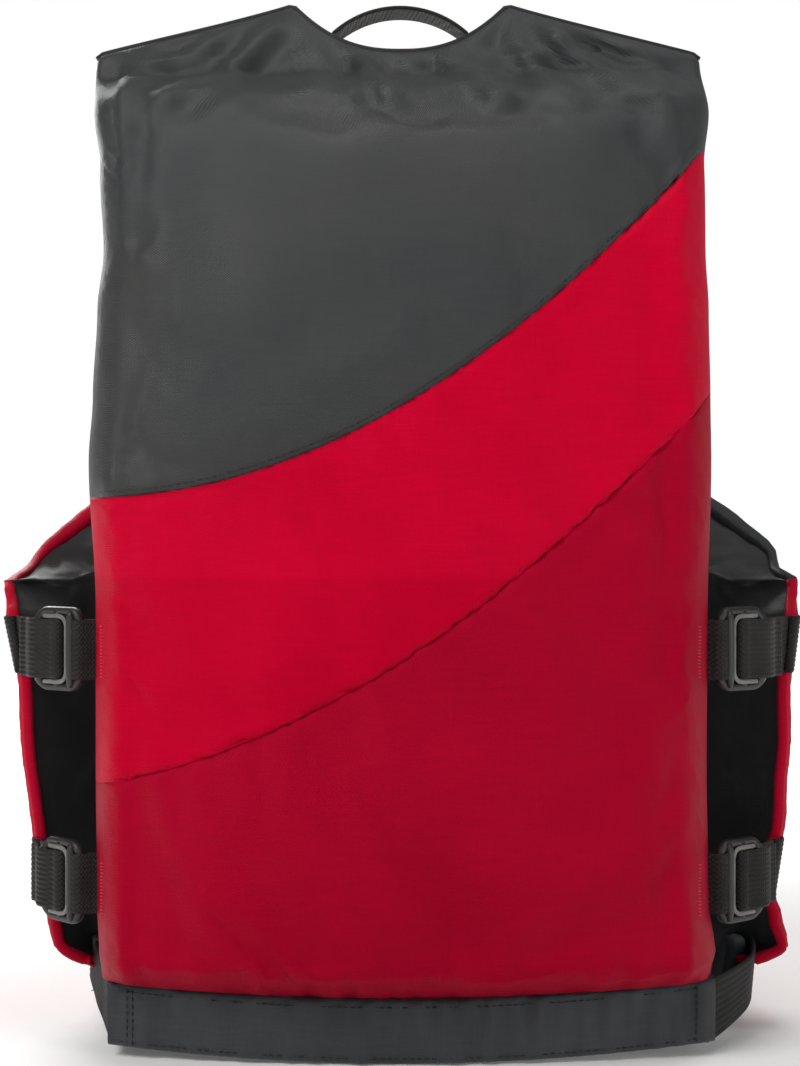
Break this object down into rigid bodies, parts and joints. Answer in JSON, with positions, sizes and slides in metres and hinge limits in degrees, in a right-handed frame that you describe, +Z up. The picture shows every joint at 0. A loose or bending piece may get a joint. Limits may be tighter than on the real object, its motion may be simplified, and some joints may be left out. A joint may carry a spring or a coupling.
{
  "type": "life jacket",
  "caption": "Youth foam life jacket with a front zip, side straps with ladder-lock adjusters, a waist belt with a side-release buckle, an elastic waistband and a grab loop at the neck.",
  "frame": {"origin": "on the surface it stands on, under the middle of the vest's overall box", "axes": "+Z up from the hem to the shoulders, -Y towards the zipped front, +Y towards the back panel, +X to the wearer's left"},
  "size_m": [0.359, 0.2036, 0.455],
  "materials": {
    "grey_cloth": "matte woven nylon",
    "red_cloth": "matte woven nylon",
    "dark_red_cloth": "matte woven nylon",
    "band_cloth": "matte woven nylon",
    "lining_cloth": "smooth woven lining",
    "binding_cloth": "matte tape",
    "red_binding": "matte tape",
    "foam": "closed-cell foam",
    "webbing": "ribbed woven webbing",
    "elastic": "ribbed elastic",
    "zip_tape": "woven tape",
    "plastic": "satin acetal"
  },
  "bodies": {
    "root": {"back_upper_panel": "grey_cloth", "back_middle_panel": "red_cloth", "back_lower_panel": "dark_red_cloth", "back_foam": "foam", "back_lining": "lining_cloth", "back_binding": "binding_cloth", "back_waistband": "band_cloth", "shoulder_shell_left": "grey_cloth", "shoulder_pad_left": "foam", "shoulder_lining_left": "lining_cloth", "waist_elastic_left": "elastic", "shoulder_shell_right": "grey_cloth", "shoulder_pad_right": "foam", "shoulder_lining_right": "lining_cloth", "waist_elastic_right": "elastic", "strap_loop_upper_left": "webbing", "strap_loop_lower_left": "webbing", "strap_loop_upper_right": "webbing", "strap_loop_lower_right": "webbing"},
    "front_left": {"front_upper_panel_left": "grey_cloth", "front_lower_panel_left": "red_cloth", "front_upper_foam_left": "foam", "front_lower_foam_left": "foam", "front_lining_left": "lining_cloth", "front_waistband_left": "band_cloth", "side_binding_left": "red_binding", "zip_tape_left": "zip_tape", "zip_teeth_left": "plastic", "belt_left": "webbing", "side_strap_upper_left": "webbing", "side_strap_lower_left": "webbing", "zip_retaining_box": "plastic"},
    "front_right": {"front_upper_panel_right": "grey_cloth", "front_lower_panel_right": "red_cloth", "front_upper_foam_right": "foam", "front_lower_foam_right": "foam", "front_lining_right": "lining_cloth", "front_waistband_right": "band_cloth", "side_binding_right": "red_binding", "zip_tape_right": "zip_tape", "zip_teeth_right": "plastic", "belt_right": "webbing", "side_strap_upper_right": "webbing", "side_strap_lower_right": "webbing", "zip_insertion_pin": "plastic", "buckle_female": "plastic"},
    "adjuster_upper_left": {"adjuster_upper_left": "plastic"},
    "adjuster_lower_left": {"adjuster_lower_left": "plastic"},
    "adjuster_upper_right": {"adjuster_upper_right": "plastic"},
    "adjuster_lower_right": {"adjuster_lower_right": "plastic"},
    "zip_slider": {"zip_slider": "plastic"},
    "zip_pull": {"zip_pull": "plastic"},
    "buckle_male": {"buckle_male": "plastic"},
    "buckle_arm_upper": {"buckle_arm_upper": "plastic"},
    "buckle_arm_lower": {"buckle_arm_lower": "plastic"},
    "grab_loop": {"grab_loop": "webbing"}
  },
  "joints": [
    {"name": "front_left_swing", "type": "hinge", "parent": "root", "child": "front_left", "pos_m": [0.136, 0.06625, 0.12], "axis": [0, 0, 1], "range_deg": [0, 40], "deforming": ["waist_elastic_left"]},
    {"name": "front_right_swing", "type": "hinge", "parent": "root", "child": "front_right", "pos_m": [-0.136, 0.06625, 0.12], "axis": [0, 0, -1], "range_deg": [0, 40], "deforming": ["waist_elastic_right"]},
    {"name": "adjuster_upper_left_tilt", "type": "hinge", "parent": "front_left", "child": "adjuster_upper_left", "pos_m": [0.136, 0.06625, 0.172], "axis": [0, 0, 1], "range_deg": [0, 25], "deforming": ["side_strap_upper_left"]},
    {"name": "adjuster_lower_left_tilt", "type": "hinge", "parent": "front_left", "child": "adjuster_lower_left", "pos_m": [0.136, 0.06625, 0.073], "axis": [0, 0, 1], "range_deg": [0, 25], "deforming": ["side_strap_lower_left"]},
    {"name": "adjuster_upper_right_tilt", "type": "hinge", "parent": "front_right", "child": "adjuster_upper_right", "pos_m": [-0.136, 0.06625, 0.172], "axis": [0, 0, -1], "range_deg": [0, 25], "deforming": ["side_strap_upper_right"]},
    {"name": "adjuster_lower_right_tilt", "type": "hinge", "parent": "front_right", "child": "adjuster_lower_right", "pos_m": [-0.136, 0.06625, 0.073], "axis": [0, 0, -1], "range_deg": [0, 25], "deforming": ["side_strap_lower_right"]},
    {"name": "zip_slide", "type": "slide", "parent": "front_left", "child": "zip_slider", "axis": [0, 0, 1], "range_m": [0, 0.24]},
    {"name": "zip_pull_swing", "type": "hinge", "parent": "zip_slider", "child": "zip_pull", "pos_m": [0.004, -0.07175, 0.0485], "axis": [-1, 0, 0], "range_deg": [0, 150]},
    {"name": "buckle_insert", "type": "slide", "parent": "front_left", "child": "buckle_male", "axis": [-1, 0, 0], "range_m": [0, 0.0255], "deforming": ["belt_left"]},
    {"name": "buckle_arm_upper_press", "type": "hinge", "parent": "buckle_male", "child": "buckle_arm_upper", "pos_m": [0.0157, -0.09625, 0.10925], "axis": [0, -1, 0], "range_deg": [0, 7], "stiffness_Nm_per_rad": 0.3, "deforming": ["buckle_arm_upper"]},
    {"name": "buckle_arm_lower_press", "type": "hinge", "parent": "buckle_male", "child": "buckle_arm_lower", "pos_m": [0.0157, -0.09625, 0.09075], "axis": [0, 1, 0], "range_deg": [0, 7], "stiffness_Nm_per_rad": 0.3, "deforming": ["buckle_arm_lower"]},
    {"name": "grab_loop_flex", "type": "hinge", "parent": "root", "child": "grab_loop", "pos_m": [0, 0.03825, 0.43], "axis": [1, 0, 0], "range_deg": [0, 50], "stiffness_Nm_per_rad": 0.05}
  ]
}
